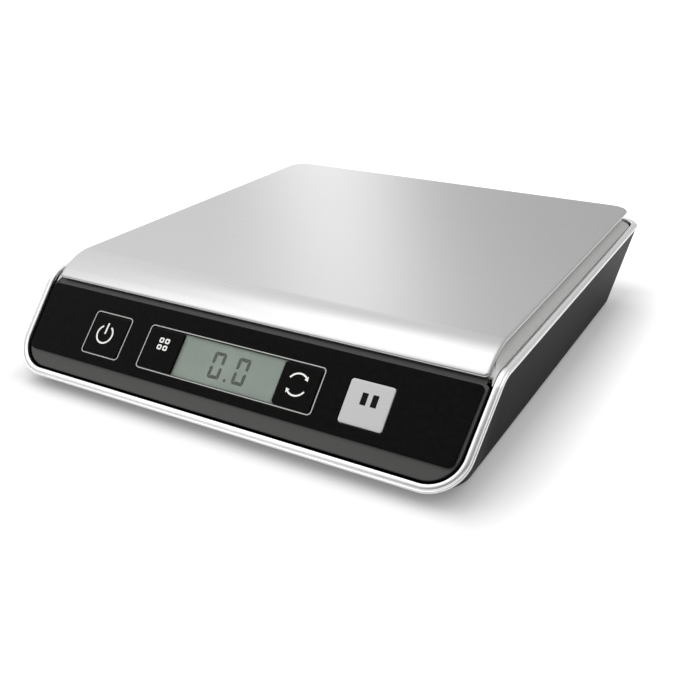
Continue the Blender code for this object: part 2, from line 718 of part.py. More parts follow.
def key(name, look, panel):
    """One keycap and the stem that reaches down to its switch."""
    left, right = key_span(name)
    top = KEY_PROUD
    cap = key_block(name, left, right, top - KEY_CAP, top, 1.4, look, panel)
    low = -STEM_END_DEPTH
    stem_centre = ((left + right) / 2, -(KEY_TOP_S + KEY_BOTTOM_S) / 2)
    stem = box(f"{name}_stem", (stem_centre[0] - 3.2, stem_centre[1] - 3.2, low),
               (stem_centre[0] + 3.2, stem_centre[1] + 3.2, top - KEY_CAP / 2), parent=panel)
    join(cap, stem)
    return cap


def switch(name, key_name, panel):
    """A push switch on the board under one key."""
    centre = sum(key_span(key_name)) / 2
    middle_s = (KEY_TOP_S + KEY_BOTTOM_S) / 2
    base = -BOARD_DEPTH + GAP
    body = box(name, (centre - 3.0, -middle_s - 3.0, base), (centre + 3.0, -middle_s + 3.0, base + 2.9),
               "black_wire", panel)
    join(body, cylinder(f"{name}_plunger", (centre, -middle_s, base + 2.8), 1.7, 1.6,
                        parent=panel, segments=16))
    return body


def display(panel):
    """The clear window, the display glass, its holder and the strip that joins it to the board."""
    key_block("lcd_window", -MIDDLE_KEY_INNER_X, MIDDLE_KEY_INNER_X, -OVERLAY_SHEET, 0.0, 0.3,
              "clear_acrylic", panel)
    low_s = KEY_TOP_S - 0.9
    high_s = KEY_BOTTOM_S + 0.9
    glass_bottom = -LCD_GLASS_DEPTH - LCD_GLASS
    box("lcd_glass", (-24.6, -high_s, glass_bottom), (24.6, -low_s, -LCD_GLASS_DEPTH), "lcd_glass",
        panel)
    holder_top = glass_bottom - GAP
    holder_bottom = -BOARD_DEPTH + GAP
    holder = box("lcd_holder", (-27.0, -high_s - 2.0, holder_bottom), (27.0, -low_s + 2.0, holder_top),
                 "white_plastic", panel)
    cut(holder, box("holder_space", (-24.0, -high_s + 1.0, holder_bottom - 1.0),
                    (24.0, -low_s - 1.0, holder_top + 1.0), parent=panel))
    box("lcd_connector_strip", (-22.0, -low_s - 3.6, holder_bottom), (22.0, -low_s - 1.6, holder_top),
        "grey_rubber", panel)


def main_circuit_board(panel):
    board = box("main_circuit_board",
                (-BOARD_HALF_WIDTH, -BOARD_BOTTOM_S, -BOARD_DEPTH - BOARD_SHEET),
                (BOARD_HALF_WIDTH, -BOARD_TOP_S, -BOARD_DEPTH), "green_board", panel)
    for number, (x, s) in enumerate(BOARD_FIXINGS, 1):
        cut(board, cylinder(f"board_hole_{number}", (x, -s, -BOARD_DEPTH), 1.6, 6.0, parent=panel,
                            segments=12))
        low = -BOARD_DEPTH - BOARD_SHEET - GAP
        turned(f"board_screw_{number}", ((0.0, 6.0), (0.9, 5.4), (0.9, 0.0), (2.2, 0.0),
                                         (2.2, -0.6), (1.4, -1.3), (0.0, -1.3)),
               (x, -s, low), "zinc_steel", panel, steps=12)
    return board


# ---------------------------------------------------------------- platform

def platform_fold():
    return Fold(PLATFORM_BEND_Y, PLATFORM_TOP_Z, PLATFORM_BEND_RADIUS,
                math.radians(PLATFORM_BEND_ANGLE))


def sheet_half(fold, half_width, back_y, front, back_corner, front_corner):
    """Outline of a sheet that follows the platform's bend."""
    back = fold.bend_y - back_y
    bend = min(fold.radius * fold.angle, front)
    return half_outline(back, front, ((half_width, back, back_corner, 6),
                                      (half_width, bend / 2 - 0.6, bend / 2 - 2.8, 7),
                                      (half_width, front, front_corner, 3)))


def platform_cover(carrier):
    """The steel sheet, with a rounded edge and a short flange all round."""
    fold = platform_fold()
    front = fold.radius * fold.angle + PLATFORM_LIP
    half = sheet_half(fold, PLATFORM_WIDTH / 2, PLATFORM_BACK_Y, front, PLATFORM_BACK_CORNER,
                      PLATFORM_FRONT_CORNER)
    radius = PLATFORM_EDGE_RADIUS
    arc = [(radius * (math.sin(turn) - 1), radius * (math.cos(turn) - 1))
           for turn in (math.radians(angle) for angle in (0, 30, 60, 90))]
    inner = -PLATFORM_SHEET
    loops = [folded_loop(half, fold, o, h) for o, h in arc]
    loops.append(folded_loop(half, fold, 0.0, -PLATFORM_FLANGE))
    loops.append(folded_loop(half, fold, inner, -PLATFORM_FLANGE))
    loops.append(folded_loop(half, fold, inner, inner - 0.3))
    loops.append(folded_loop(half, fold, inner - 0.3, inner))
    cover = loft("platform_cover", loops, "brushed_steel")
    cover.parent = carrier
    return cover


def platform_tray(carrier):
    """The ribbed plastic tray under the steel sheet, with the boss that takes the load."""
    fold = platform_fold()
    half = sheet_half(fold, TRAY_HALF_WIDTH, TRAY_BACK_Y, TRAY_FRONT, 6.0, 1.0)
    bottom = -TRAY_TOP_DEPTH - TRAY_SHEET
    tray = loft("platform_tray", [folded_loop(half, fold, 0.0, -TRAY_TOP_DEPTH),
                                  folded_loop(half, fold, 0.0, bottom)], "black_plastic")
    tray.parent = carrier
    sheet_z = PLATFORM_TOP_Z + bottom + 0.6
    for number, x in enumerate((-86.0, -70.0, -28.0, 28.0, 70.0, 86.0), 1):
        join(tray, box(f"long_rib_{number}", (x - TRAY_RIB / 2, -66.0, TRAY_RIB_BOTTOM_Z),
                       (x + TRAY_RIB / 2, TRAY_BACK_Y - 2.0, sheet_z)))
    for number, y in enumerate((-52.0, CELL_Y - 24.0, CELL_Y + 24.0, 78.0), 1):
        join(tray, box(f"cross_rib_{number}", (-87.0, y - TRAY_RIB / 2, TRAY_RIB_BOTTOM_Z),
                       (87.0, y + TRAY_RIB / 2, sheet_z)))
    join(tray, box("tray_boss", (8.0, CELL_Y - 24.0, TRAY_RIB_BOTTOM_Z - 0.2),
                   (48.0, CELL_Y + 24.0, sheet_z)))
    tray_top_z = PLATFORM_TOP_Z - TRAY_TOP_DEPTH
    for number, x in enumerate(CELL_BOLTS_X, 1):
        cut(tray, cylinder(f"tray_sink_{number}", (x, CELL_Y, tray_top_z), 4.6, 7.2, segments=20))
        cut(tray, cylinder(f"tray_bore_{number}", (x, CELL_Y, 38.0), CELL_BOLT_HOLE, 10.0,
                           segments=16))
    return tray


def cover_pads(carrier):
    """Adhesive pads between the steel sheet and its tray."""
    top = PLATFORM_TOP_Z - PLATFORM_SHEET - GAP
    low = PLATFORM_TOP_Z - TRAY_TOP_DEPTH + GAP
    for number, (x, y) in enumerate(mirrored_places(((70.0, 85.0), (70.0, -45.0))), 1):
        pad = box(f"cover_pad_{number}", (x - 12.0, y - 12.0, low), (x + 12.0, y + 12.0, top),
                  "grey_rubber")
        pad.parent = carrier


# ---------------------------------------------------------------- load cell

def load_cell():
    """The aluminium bar: the waist between its two joined holes bends under load."""
    half = CELL_LENGTH / 2
    middle_z = CELL_BOTTOM_Z + CELL_SIZE / 2
    cell = box("load_cell", (-half, CELL_Y - CELL_SIZE / 2, CELL_BOTTOM_Z),
               (half, CELL_Y + CELL_SIZE / 2, CELL_BOTTOM_Z + CELL_SIZE), "aluminium")
    for number, x in enumerate((-7.0, 7.0), 1):
        cut(cell, cylinder(f"waist_hole_{number}", (x, CELL_Y, middle_z), 5.0, 20.0, axis="Y",
                           segments=24))
    cut(cell, box("waist_slot", (-7.0, CELL_Y - 10.0, middle_z - 1.6),
                  (7.0, CELL_Y + 10.0, middle_z + 1.6)))
    for number, x in enumerate(CELL_BOLTS_X, 1):
        cut(cell, cylinder(f"cell_base_bore_{number}", (-x, CELL_Y, CELL_BOTTOM_Z), CELL_BOLT_HOLE,
                           20.0, segments=16))
        cut(cell, cylinder(f"cell_top_bore_{number}", (x, CELL_Y, CELL_BOTTOM_Z + CELL_SIZE),
                           CELL_BOLT_HOLE, 20.0, segments=16))
    return cell


def spacer(name, side, low, high, parent=None):
    """A plate between the load cell and what it is bolted to, on the left (-1) or right (1)."""
    ends = sorted((side * 14.0, side * CELL_LENGTH / 2))
    piece = box(name, (ends[0], CELL_Y - CELL_SIZE / 2, low), (ends[1], CELL_Y + CELL_SIZE / 2, high),
                "aluminium")
    piece.parent = parent
    for number, x in enumerate(CELL_BOLTS_X, 1):
        cut(piece, cylinder(f"{name}_bore_{number}", (side * x, CELL_Y, (low + high) / 2),
                            CELL_BOLT_HOLE, high - low + 2.0, segments=16))
    return piece


def bolt(name, x, head_z, length, direction, parent=None):
    """A socket-head bolt whose shank runs up (1) or down (-1) from its head."""
    head = 3.0
    profile = [(0.0, length), (CELL_BOLT_RADIUS, length), (CELL_BOLT_RADIUS, 0.0), (4.2, 0.0),
               (4.2, -head), (2.0, -head), (2.0, -head + 1.6), (0.0, -head + 1.6)]
    tilt = None if direction > 0 else (180.0, 0.0, 0.0)
    return turned(name, profile, (x, CELL_Y, head_z), "zinc_steel", parent, tilt, steps=16)


# ---------------------------------------------------------------- batteries

def battery(number, y, side):
    """One AAA cell along X, with its positive end on the left (-1) or right (1)."""
    low = -BATTERY_LENGTH / 2
    high = BATTERY_LENGTH / 2
    radius = BATTERY_RADIUS
    profile = ((0.0, high), (1.9, high), (1.9, high - 0.9), (radius - 0.5, high - 1.1),
               (radius, high - 1.6), (radius, low + 0.6), (radius - 0.5, low), (0.0, low))
    return turned(f"battery_{number}", profile, (0.0, y, BATTERY_Z), "battery_label",
                  tilt=(0.0, side * 90.0, 0.0), steps=20)


def battery_contacts(number, y, side):
    """The coil spring at a cell's negative end, and the dimpled plate at its positive end."""
    wall = BAY_HALF_X - GAP
    near = BATTERY_LENGTH / 2 + GAP
    turns = 3.5
    length = wall - near - 0.6
    points = []
    for step in range(int(turns * 9) + 1):
        along = step / (turns * 9)
        angle = 2 * math.pi * turns * along
        radius = 3.6 - 1.2 * along
        points.append((-side * (wall - 0.3 - along * length), y + radius * math.cos(angle),
                       BATTERY_Z + radius * math.sin(angle)))
    spring = curve_object(f"battery_spring_{number}", points, False, "3D")
    spring.data.bevel_depth = 0.3 * MM
    spring.data.bevel_resolution = 1
    spring.data.use_fill_caps = True
    curve_to_mesh(spring, "zinc_steel")
    ends = sorted((side * (wall - 0.5), side * wall))
    plate_item = box(f"battery_plate_{number}", (ends[0], y - 4.5, BATTERY_Z - 4.5),
                     (ends[1], y + 4.5, BATTERY_Z + 4.5), "zinc_steel")
    dimple = wall - near
    join(plate_item, cylinder(f"plate_dimple_{number}", (side * (near + dimple / 2 - 0.1), y, BATTERY_Z),
                              2.2, dimple - 0.2, axis="X", segments=12))


def battery_door():
    """The sliding door: a plate with a thin flange along both sides."""
    low = TUB_BOTTOM_Z
    high = low + DOOR_SHEET
    door = box("battery_door", (-DOOR_HALF_X, BAY_Y - DOOR_HALF_Y, low),
               (DOOR_HALF_X, BAY_Y + DOOR_HALF_Y, high), "black_plastic")
    wide = DOOR_HALF_X + DOOR_FLANGE
    join(door, box("door_flange", (-wide, BAY_Y - DOOR_HALF_Y + 2.0, high - 0.8),
                   (wide, BAY_Y + DOOR_HALF_Y - 2.0, high - 0.01)))
    for number in range(5):
        y = BAY_Y + DOOR_HALF_Y - 4.0 - 2.2 * number
        cut(door, box(f"door_grip_{number}", (-11.0, y - 0.5, low - 1.0), (11.0, y + 0.5, low + 0.6)))
    return door


# ---------------------------------------------------------------- feet, screws, inlet, leads

def feet_and_screws():
    foot_top = TUB_BOTTOM_Z + FOOT_SINK
    foot = ((0.0, foot_top), (FOOT_RADIUS, foot_top), (FOOT_RADIUS, 0.7), (FOOT_RADIUS - 0.6, 0.0),
            (0.0, 0.0))
    for number, (x, y) in enumerate(mirrored_places(FEET), 1):
        turned(f"rubber_foot_{number}", foot, (x, y, 0.0), "grey_rubber", steps=24)
    screw = ((0.0, 16.0), (1.4, 15.0), (1.4, 2.1), (3.0, 2.1), (3.0, 0.6), (2.2, 0.0), (0.0, 0.0))
    for number, (x, y) in enumerate(mirrored_places(CASE_SCREWS), 1):
        turned(f"case_screw_{number}", screw, (x, y, SCREW_HEAD_Z), "zinc_steel", steps=14)


def usb_inlet():
    """The rear inlet on its own small board."""
    low = USB_BOARD_Z
    top = low + BOARD_SHEET
    box("usb_board", (USB_X - 11.0, USB_BOARD_FRONT_Y, low), (USB_X + 11.0, USB_BOARD_BACK_Y, top),
        "green_board")
    socket = box("usb_socket", (USB_X - 3.9, USB_MOUTH_Y - 9.2, top + GAP),
                 (USB_X + 3.9, USB_MOUTH_Y, top + GAP + 3.9), "zinc_steel")
    cut(socket, box("usb_mouth", (USB_X - 3.4, USB_MOUTH_Y - 7.0, top + GAP + 0.45),
                    (USB_X + 3.4, USB_MOUTH_Y + 1.0, top + GAP + 3.45)))
    join(socket, box("usb_tongue", (USB_X - 2.2, USB_MOUTH_Y - 7.6, top + GAP + 1.5),
                     (USB_X + 2.2, USB_MOUTH_Y - 1.6, top + GAP + 2.3)))


def leads():
    """Leads inside the tub, from the load cell, the batteries and the inlet to the main board."""
    wire("load_cell_cable", ((-41.2, CELL_Y, 20.5), (-48.0, CELL_Y - 4.0, 17.0), (-54.0, -8.0, 9.0),
                             (-54.0, -60.0, 8.0), (-50.0, -80.0, 10.0), (-46.0, -89.5, 16.0)), 1.1,
         "grey_cable", 4.0)
    for side, name, look in ((-1, "battery_lead_red", "red_wire"),
                             (1, "battery_lead_black", "black_wire")):
        x = side * 31.5
        wire(name, ((x, 50.0, 8.0), (x + side * 3.0, 44.0, 7.0), (side * 50.0, 34.0, 6.0),
                    (side * 50.0, 0.0, 6.0), (side * 40.0, -60.0, 6.5), (side * 30.0, -80.0, 9.0),
                    (side * 26.0, -89.5, 16.0)), 0.7, look, 5.0)
    wire("usb_cable", ((USB_X, 83.0, USB_BOARD_Z + 0.8), (USB_X, 70.0, 9.0), (USB_X + 2.0, 40.0, 6.5),
                       (USB_X + 2.0, -60.0, 6.5), (USB_X - 4.0, -80.0, 10.0),
                       (USB_X - 8.0, -89.5, 16.0)), 1.2, "grey_cable", 4.0)


# ---------------------------------------------------------------- assembly

def build():
    base_housing()
    trim_rim()
    silver_frame()
    panel = empty("panel_plane", (0.0, PANEL_Y, PANEL_Z), PANEL_ANGLE)
    front_fascia(panel)
    panel_overlay(panel)
    display(panel)
    main_circuit_board(panel)
    for name, look in (("power_key", "gloss_black"), ("tare_key", "gloss_black"),
                       ("units_key", "gloss_black"), ("hold_key", "silver_key")):
        key(name, look, panel)
        switch(name.replace("key", "switch"), name, panel)
    carrier = empty("platform_carrier")
    platform_cover(carrier)
    platform_tray(carrier)
    cover_pads(carrier)
    cell_top = CELL_BOTTOM_Z + CELL_SIZE
    load_cell()
    spacer("load_cell_base_spacer", -1, CELL_PAD_TOP_Z + GAP, CELL_BOTTOM_Z - GAP)
    spacer("load_cell_top_spacer", 1, cell_top + GAP, TRAY_RIB_BOTTOM_Z - 0.2 - GAP, carrier)
    for number, x in enumerate(CELL_BOLTS_X, 1):
        bolt(f"base_bolt_{number}", -x, 4.9, 17.0, 1)
        bolt(f"platform_bolt_{number}", x, 40.8, 21.0, -1, carrier)
    for number, side in enumerate((1, -1, 1), 1):
        y = BAY_Y + (number - 2) * BATTERY_PITCH
        battery(number, y, side)
        battery_contacts(number, y, side)
    battery_door()
    feet_and_screws()
    usb_inlet()
    leads()
    bpy.context.view_layer.update()


clear_scene()
PARTS = new_collection("postal_scale")
CUTTERS = new_collection("cutters")
build()
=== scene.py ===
"""Looks of a digital postal scale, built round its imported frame.

Sizes are in millimetres and angles in degrees where a name doesn't say otherwise. Every object is
made in metres. X is to the right of someone reading the display, -Y is the front, Z is up.
"""
import json
import math
from collections import namedtuple

import bmesh
import bpy
from mathutils import Matrix, Vector


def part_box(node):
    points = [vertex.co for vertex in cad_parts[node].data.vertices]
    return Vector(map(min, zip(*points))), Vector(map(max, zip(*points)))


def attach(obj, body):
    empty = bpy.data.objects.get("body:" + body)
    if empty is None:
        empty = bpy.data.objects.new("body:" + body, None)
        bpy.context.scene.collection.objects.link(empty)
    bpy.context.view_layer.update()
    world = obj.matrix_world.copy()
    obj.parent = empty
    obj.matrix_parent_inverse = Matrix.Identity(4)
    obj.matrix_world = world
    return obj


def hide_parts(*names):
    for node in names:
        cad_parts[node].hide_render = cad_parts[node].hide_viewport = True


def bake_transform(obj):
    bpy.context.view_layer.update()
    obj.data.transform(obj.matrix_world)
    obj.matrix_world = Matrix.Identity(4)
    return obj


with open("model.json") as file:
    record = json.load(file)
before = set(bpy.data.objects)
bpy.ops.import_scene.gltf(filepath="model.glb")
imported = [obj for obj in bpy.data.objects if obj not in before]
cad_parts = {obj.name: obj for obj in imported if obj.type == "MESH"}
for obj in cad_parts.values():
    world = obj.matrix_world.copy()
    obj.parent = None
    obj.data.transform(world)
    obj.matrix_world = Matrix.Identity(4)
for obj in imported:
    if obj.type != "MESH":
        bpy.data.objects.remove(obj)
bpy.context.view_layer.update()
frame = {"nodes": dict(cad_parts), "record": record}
MM = 0.001
NODES = frame["nodes"]

# Camera, in metres
CAMERA_PLACE = (0.19319, -0.34336, 0.17964)
CAMERA_FORWARD = (-0.44350, 0.78310, -0.43596)
CAMERA_UP = (-0.20954, 0.38234, 0.89995)
CAMERA_LENS = 45.5

# Shape of the folded sheets, as in the frame, but with tighter front corners on the platform
PLATFORM_BEND_Y = -65.8
PLATFORM_BEND_RADIUS = 28.4
PLATFORM_BEND_ANGLE = 42.0
PLATFORM_BACK_CORNER = 9.0
PLATFORM_FRONT_CORNER = 1.9
PLATFORM_EDGE = 1.0
PLATFORM_FLANGE = 1.3
PLATFORM_LIP = 1.0
PLATFORM_DROP = 1.1
PANEL_ANGLE = 46.0
PANEL_Y = -78.3
PANEL_Z = 46.0
RIM_DEPTH = 0.3
RIM_BEND_RADIUS = 12.0
RIM_BOTTOM_S = 55.4
RIM_BACK_CORNER = 12.0
RIM_FRONT_CORNER = 15.5
RIM_TAPER = 0.06
RIM_WIDTH = 3.3
RIM_HEIGHT = 1.6
LEDGE_Z = 39.0
LEDGE_DEPTH = 2.3
LEDGE_BEND_RADIUS = 9.0
LEDGE_FRONT_S = 9.7
LEDGE_OPENING_HALF = 98.9
LEDGE_OPENING_BACK_Y = 104.0
LEDGE_OPENING_FRONT_S = 5.6
LEDGE_BACK_CORNER = 9.5
LEDGE_LIP = 2.0
LEDGE_SKIRT = 7.0

# Front panel: S is the distance down its slope, and a depth goes into it. The overlay's corners
# are tighter than in the frame.
FASCIA_HALF_TOP = 103.0
FASCIA_HALF_BOTTOM = 100.6
FASCIA_TOP_S = 13.0
FASCIA_BOTTOM_S = 51.0
FASCIA_TOP_CORNER = 1.5
FASCIA_BOTTOM_CORNER = 11.5
FASCIA_DEPTH = 1.1
FASCIA_SHEET = 2.2
TONGUE_HALF = 101.2
TONGUE_TOP_S = 10.2
TONGUE_DEPTH = 2.6
TONGUE_SHEET = 0.65
OVERLAY_HALF_TOP = 101.9
OVERLAY_HALF_BOTTOM = 99.8
OVERLAY_TOP_S = 13.6
OVERLAY_BOTTOM_S = 44.6
OVERLAY_TOP_CORNER = 2.0
OVERLAY_BOTTOM_CORNER = 2.4
OVERLAY_SHEET = 0.8
KEY_TOP_S = 22.05
KEY_BOTTOM_S = 39.9
KEY_MIDDLE_S = (KEY_TOP_S + KEY_BOTTOM_S) / 2
KEY_PROUD = 0.2
KEY_CAP = 0.75
KEY_CORNER = 1.2
KEY_GAP = 0.35
KEYS = {"power_key": (-71.4, -52.6), "tare_key": (-41.3, -23.9),
        "units_key": (23.9, 41.3), "hold_key": (52.6, 71.4)}
STEM_HALF = 3.2
STEM_HOLE_HALF = 4.0
STEM_END_DEPTH = 5.5
BORDER_GAP = 0.25
BORDER_LINE = 0.42
INK_SINK = 0.01
INK_THICKNESS = 0.03
LCD_TOP = -1.3
WINDOW_HALF = 23.55
DIGITS = ((-8.2, -2.5), (3.4, 9.1))
DIGIT_TOP_S = 25.5
DIGIT_BOTTOM_S = 36.6
DIGIT_STROKE = 1.4

CRISP_ANGLE = math.radians(30.0)

Fold = namedtuple("Fold", "bend_y top_z radius angle")


# ---------------------------------------------------------------- folded outlines

def panel_axes():
    """Down the slope of the front panel, and out of it."""
    angle = math.radians(PANEL_ANGLE)
    return (Vector((0.0, -math.cos(angle), -math.sin(angle))),
            Vector((0.0, -math.sin(angle), math.cos(angle))))


def panel_point(x, s, height):
    """A place on the panel: x across, s down the slope, height over its surface."""
    down, out = panel_axes()
    return (x, PANEL_Y + down.y * s + out.y * height, PANEL_Z + down.z * s + out.z * height)


def panel_fold(top_z, depth, radius):
    """A sheet that is flat at top_z and then runs down the slope, depth below the panel plane."""
    angle = math.radians(PANEL_ANGLE)
    crest_y = PANEL_Y + (depth + (top_z - PANEL_Z) * math.cos(angle)) / math.sin(angle)
    return Fold(crest_y + radius * math.tan(angle / 2), top_z, radius, angle)


def slope_distance(fold, s):
    """How far forward of its bend line a sheet has come at s down the panel slope."""
    down, _ = panel_axes()
    reach = fold.radius * math.tan(fold.angle / 2)
    crest = Vector((0.0, fold.bend_y - reach - PANEL_Y, fold.top_z - PANEL_Z))
    return fold.radius * fold.angle + s - crest.dot(down) - reach


def fold_point(fold, u, d, h):
    """The point u across and d forward of the bend line of a folded sheet, h above it."""
    turn = min(max(d / fold.radius, 0.0), fold.angle)
    flat = min(d, 0.0)
    slope = max(d - fold.radius * fold.angle, 0.0)
    y = fold.bend_y - flat - (fold.radius + h) * math.sin(turn) - slope * math.cos(turn)
    z = fold.top_z - fold.radius + (fold.radius + h) * math.cos(turn) - slope * math.sin(turn)
    return (u, y, z)


def half_outline(back, front, corners):
    """The right half of an outline as (u, d, outward u, outward d), from back to front.

    back and front are the d of its two middle points. Each corner is (u, d, reach, segments): an
    arc that takes reach from both of its sides, which may also be in line.
    """
    places = [Vector((0.0, back)), *[Vector(corner[:2]) for corner in corners],
              Vector((0.0, front))]
    half = []
    for before, corner, after, (_, _, reach, segments) in zip(places, places[1:], places[2:],
                                                              corners):
        arriving = (corner - before).normalized()
        leaving = (after - corner).normalized()
        outward = Vector((arriving.y, -arriving.x))
        turn = arriving.angle(leaving)
        weight = math.cos(turn / 2)
        start = corner - arriving * reach
        end = corner + leaving * reach
        for step in range(segments + 1):
            t = step / segments
            blend = ((1 - t)**2, 2 * weight * t * (1 - t), t**2)
            point = (start * blend[0] + corner * blend[1] + end * blend[2]) / sum(blend)
            normal = outward
            if turn > 0.001:
                centre = start - outward * (reach / math.tan(turn / 2))
                normal = (point - centre).normalized()
            half.append((point.x, point.y, normal.x, normal.y))
    return half


def folded_loop(half, fold, offset, height):
    """A closed loop on a folded sheet: the outline grown by offset, at a height over the sheet."""
    right = [(u + nu * offset, d + nd * offset) for u, d, nu, nd in half]
    left = [(-u, d) for u, d in reversed(right)]
    return [fold_point(fold, u, d, height) for u, d in right + left]


def panel_loop(half, offset, height, centre=0.0):
    """A closed loop on the panel: the outline grown by offset, at a height over its surface."""
    right = [(u + nu * offset, d + nd * offset) for u, d, nu, nd in half]
    left = [(-u, d) for u, d in reversed(right)]
    return [panel_point(centre + u, s, height) for u, s in right + left]


def rounded(offset, height, radius, steps=4):
    """Offsets and heights round a convex edge, from its top inwards end to its side."""
    turns = [math.pi / 2 * step / steps for step in range(steps + 1)]
    return [(offset + radius * (math.sin(turn) - 1), height + radius * (math.cos(turn) - 1))
            for turn in turns]


# ---------------------------------------------------------------- making pieces

def finish_piece(item, look, body, replaced=(), angle=38.0):
    """Shade, paint and register one piece of the object."""
    item.data.materials.clear()
    item.data.materials.append(look)
    item.data.shade_smooth()
    item.data.set_sharp_from_angle(angle=math.radians(angle))
    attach(item, body)
    if replaced:
        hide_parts(*replaced)
    return item


def link(item):
    bpy.context.scene.collection.objects.link(item)
    return item


def loft(name, loops, ring=False):
    """A solid skin over loops of equal length: capped at both ends, or closed on itself."""
    shape = bmesh.new()
    rows = [[shape.verts.new([value * MM for value in point]) for point in loop]
            for loop in loops]
    pairs = list(zip(rows, rows[1:]))
    if ring:
        pairs.append((rows[-1], rows[0]))
    for row, following in pairs:
        for i in range(len(row)):
            shape.faces.new((row[i - 1], row[i], following[i], following[i - 1]))
    if not ring:
        for row in (rows[0], rows[-1]):
            for i in range(len(row) // 2 - 1):
                shape.faces.new((row[i], row[i + 1], row[-2 - i], row[-1 - i]))
    bmesh.ops.recalc_face_normals(shape, faces=shape.faces)
    mesh = bpy.data.meshes.new(name)
    shape.to_mesh(mesh)
    shape.free()
    return link(bpy.data.objects.new(name, mesh))


def panel_sheet(name, outlines, low, high, bevel=0.0, bevel_steps=2):
    """Flat outlines of (x, s) on the panel, with holes, as a sheet with softly rounded edges."""
    curve = bpy.data.curves.new(name, "CURVE")
    curve.dimensions = "2D"
    curve.fill_mode = "BOTH"
    curve.extrude = ((high - low) / 2 - bevel) * MM
    curve.bevel_depth = bevel * MM
    curve.bevel_resolution = bevel_steps
    curve.offset = -bevel * MM
    for outline in outlines:
        spline = curve.splines.new("POLY")
        spline.points.add(len(outline) - 1)
        for point, (x, s) in zip(spline.points, outline):
            point.co = (x * MM, -s * MM, 0.0, 1.0)
        spline.use_cyclic_u = True
    drawn = link(bpy.data.objects.new(f"{name}_curve", curve))
    graph = bpy.context.evaluated_depsgraph_get()
    mesh = bpy.data.meshes.new_from_object(drawn.evaluated_get(graph), depsgraph=graph)
    bpy.data.objects.remove(drawn)
    shape = bmesh.new()
    shape.from_mesh(mesh)
    bmesh.ops.remove_doubles(shape, verts=shape.verts, dist=0.000002)
    down, out = panel_axes()
    middle = (low + high) / 2 * MM
    place = Matrix(((1.0, 0.0, 0.0, 0.0),
                    (0.0, -down.y, out.y, PANEL_Y * MM + out.y * middle),
                    (0.0, -down.z, out.z, PANEL_Z * MM + out.z * middle),
                    (0.0, 0.0, 0.0, 1.0)))
    bmesh.ops.transform(shape, matrix=place, verts=shape.verts)
    bmesh.ops.recalc_face_normals(shape, faces=shape.faces)
    shape.to_mesh(mesh)
    shape.free()
    mesh.name = name
    item = link(bpy.data.objects.new(name, mesh))
    if bevel:
        keep = item.modifiers.new("even_normals", "WEIGHTED_NORMAL")
        keep.keep_sharp = True
    return item


def rounded_box(left, right, top, bottom, radius, steps=6):
    """A rectangle with rounded corners, as (x, s) points."""
    points = []
    for x, s, start in ((right, top, -90), (right, bottom, 0), (left, bottom, 90),
                        (left, top, 180)):
        centre_x = x - math.copysign(radius, x - (left + right) / 2)
        centre_s = s - math.copysign(radius, s - (top + bottom) / 2)
        for step in range(steps + 1):
            turn = math.radians(start + 90.0 * step / steps)
            points.append((centre_x + radius * math.cos(turn), centre_s + radius * math.sin(turn)))
    return points


def trapezoid(half_top, half_bottom, top, bottom, top_corner, bottom_corner, segments=8):
    """Outline of a symmetric plate on the panel, as (x, s) points."""
    half = half_outline(top, bottom, ((half_top, top, top_corner, segments),
                                      (half_bottom, bottom, bottom_corner, segments)))
    return [(u, s) for u, s, _, _ in half] + [(-u, s) for u, s, _, _ in reversed(half)]


def arc_band(centre, radius, width, start, end, steps=24):
    """A curved stroke, as (x, s) points; angles run clockwise from straight up the panel."""
    outer, inner = [], []
    for step in range(steps + 1):
        turn = math.radians(start + (end - start) * step / steps)
        direction = (math.sin(turn), -math.cos(turn))
        outer.append(tuple(c + (radius + width / 2) * d for c, d in zip(centre, direction)))
        inner.append(tuple(c + (radius - width / 2) * d for c, d in zip(centre, direction)))
    return outer + inner[::-1]


# ---------------------------------------------------------------- materials

def surface(name, colour, roughness, metallic=0.0, grain=1500.0, spread=0.12, vary=0.04,
            bump=0.0, stretch=(1.0, 1.0, 1.0), **sockets):
    """A procedural finish: fine noise varies its colour, its roughness and its height."""
    material = bpy.data.materials.new(name)
    material.use_nodes = True
    nodes = material.node_tree.nodes
    links = material.node_tree.links
    shader = nodes["Principled BSDF"]
    coords = nodes.new("ShaderNodeTexCoord")
    mapping = nodes.new("ShaderNodeMapping")
    mapping.inputs["Scale"].default_value = stretch
    noise = nodes.new("ShaderNodeTexNoise")
    noise.inputs["Scale"].default_value = grain
    noise.inputs["Detail"].default_value = 3.0
    links.new(coords.outputs["Object"], mapping.inputs["Vector"])
    links.new(mapping.outputs["Vector"], noise.inputs["Vector"])
    tint = nodes.new("ShaderNodeValToRGB")
    tint.color_ramp.elements[0].position = 0.3
    tint.color_ramp.elements[1].position = 0.7
    tint.color_ramp.elements[0].color = [value * (1 - spread) for value in colour] + [1.0]
    tint.color_ramp.elements[1].color = [min(value * (1 + spread), 1.0) for value in colour] + [1.0]
    links.new(noise.outputs["Fac"], tint.inputs["Fac"])
    links.new(tint.outputs["Color"], shader.inputs["Base Color"])
    rough = nodes.new("ShaderNodeMapRange")
    rough.inputs["To Min"].default_value = max(roughness - vary, 0.02)
    rough.inputs["To Max"].default_value = roughness + vary
    links.new(noise.outputs["Fac"], rough.inputs["Value"])
    links.new(rough.outputs["Result"], shader.inputs["Roughness"])
    if bump:
        relief = nodes.new("ShaderNodeBump")
        relief.inputs["Strength"].default_value = bump
        relief.inputs["Distance"].default_value = 0.00005
        links.new(noise.outputs["Fac"], relief.inputs["Height"])
        links.new(relief.outputs["Normal"], shader.inputs["Normal"])
    shader.inputs["Metallic"].default_value = metallic
    for socket, value in sockets.items():
        shader.inputs[socket.replace("_", " ")].default_value = value
    return material


